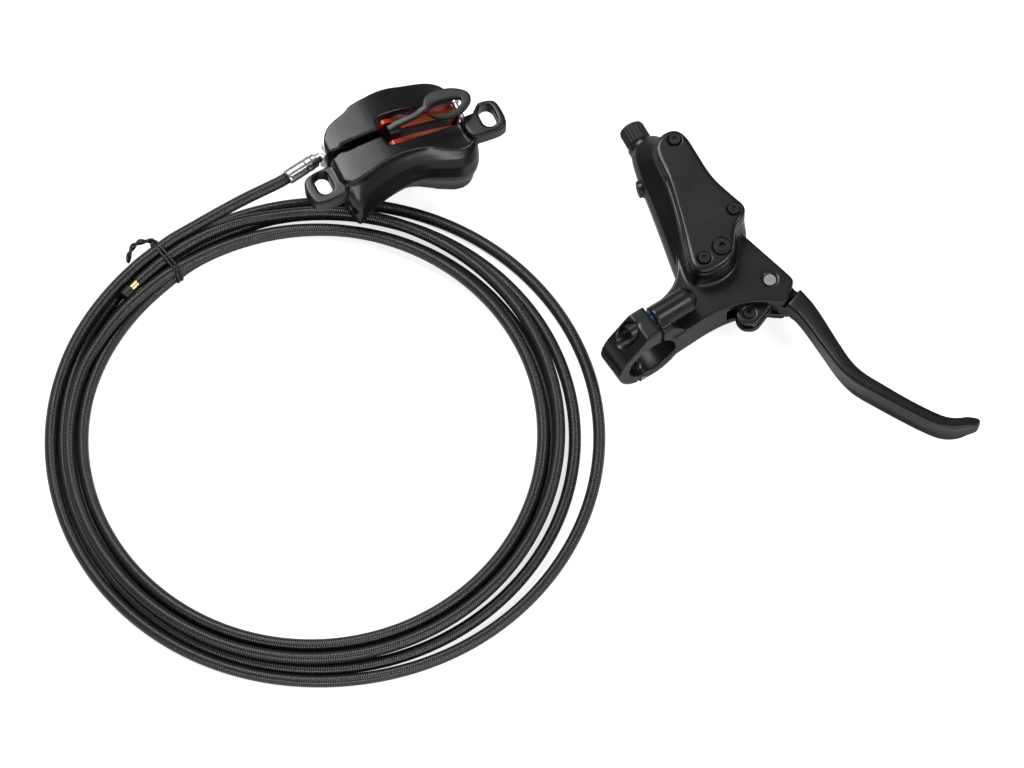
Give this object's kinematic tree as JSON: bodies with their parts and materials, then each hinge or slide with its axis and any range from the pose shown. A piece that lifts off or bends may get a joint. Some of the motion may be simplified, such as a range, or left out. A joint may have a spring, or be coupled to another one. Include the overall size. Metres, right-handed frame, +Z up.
{
  "type": "hydraulic disc brake",
  "caption": "Hydraulic bicycle disc brake as a set: handlebar lever with reservoir, post-mount caliper with sprung pads and transport spacer, and a coiled brake hose.",
  "frame": {"origin": "on the surface the set lies on, under the middle of the lever and caliper together, the hose left out", "axes": "+Z up; +X to the right and +Y away in the picture, along the longest extent of lever and caliper"},
  "size_m": [0.3814, 0.2669, 0.041],
  "materials": {
    "black_paint": "satin",
    "black_rubber": "matte",
    "black_steel": "satin",
    "bare_steel": "satin",
    "bright_plate": "polished",
    "piston_alloy": "satin",
    "red_paint": "gloss",
    "lining": "matte",
    "black_plastic": "satin",
    "black_hose": "satin",
    "brass": "polished",
    "bush_bronze": "satin",
    "copper": "satin",
    "spring_leaf": "satin",
    "tie_wire": "satin"
  },
  "bodies": {
    "brake_set": {"lever_body": "black_paint", "reservoir_cover": "black_paint", "reservoir_diaphragm": "black_rubber", "cover_screws": "black_steel", "bleed_screw": "black_steel", "clamp_strap": "black_paint", "clamp_bolt": "black_steel", "clamp_hinge_pin": "bare_steel", "pivot_pin": "bare_steel", "return_spring": "bare_steel", "piston_retainer": "bare_steel", "port_plug": "black_rubber", "caliper_near_half": "black_paint", "caliper_far_half": "black_paint", "caliper_bolts": "black_steel", "caliper_joint_ring": "black_rubber", "piston_seals": "black_rubber", "pad_spring": "spring_leaf", "pad_pin": "bare_steel", "pad_pin_clip": "bare_steel", "transport_spacer": "black_plastic", "caliper_bleed_screw": "black_steel", "hose_banjo": "bright_plate", "banjo_bolt": "bright_plate", "banjo_washers": "copper", "crimp_sleeve": "bright_plate", "hose_lead": "black_hose", "hose_coil": "black_hose", "hose_insert": "brass", "hose_end_cap": "black_rubber", "twist_tie": "tie_wire"},
    "lever": {"lever_blade": "black_paint", "pivot_bushes": "bush_bronze"},
    "rod": {"push_rod": "bare_steel", "barrel_pin": "black_steel"},
    "cylinder_piston": {"master_piston": "piston_alloy", "piston_cups": "black_rubber"},
    "near_shoe": {"near_pad_plate": "red_paint", "near_pad_lining": "lining", "near_pistons": "piston_alloy"},
    "far_shoe": {"far_pad_plate": "red_paint", "far_pad_lining": "lining", "far_pistons": "piston_alloy"}
  },
  "joints": [
    {"name": "lever_pull", "type": "hinge", "parent": "brake_set", "child": "lever", "pos_m": [0.05769, -0.01378, 0.0161], "axis": [0, 0, -1], "range_deg": [0, 20], "stiffness_Nm_per_rad": 0.6, "springref_deg": -8.59},
    {"name": "rod_swivel", "type": "hinge", "parent": "lever", "child": "rod", "pos_m": [0.04917, -0.02689, 0.0161], "axis": [0, 0, 1], "range_deg": [0, 14]},
    {"name": "master_stroke", "type": "slide", "parent": "brake_set", "child": "cylinder_piston", "axis": [-0.4695, 0.8829, 0], "range_m": [0, 0.0053], "deforming": ["return_spring"]},
    {"name": "near_shoe_advance", "type": "slide", "parent": "brake_set", "child": "near_shoe", "axis": [-0.4226, 0.9063, 0], "range_m": [0, 0.0003], "stiffness_N_per_m": 2000, "springref_m": -0.0001},
    {"name": "far_shoe_advance", "type": "slide", "parent": "brake_set", "child": "far_shoe", "axis": [0.4226, -0.9063, 0], "range_m": [0, 0.0003]}
  ],
  "couplings": [
    {"joint": "rod_swivel", "follows": "lever_pull", "ratio": 0.68},
    {"joint": "master_stroke", "follows": "lever_pull", "m_per_rad": 0.01498},
    {"joint": "far_shoe_advance", "follows": "near_shoe_advance", "ratio": 1}
  ]
}
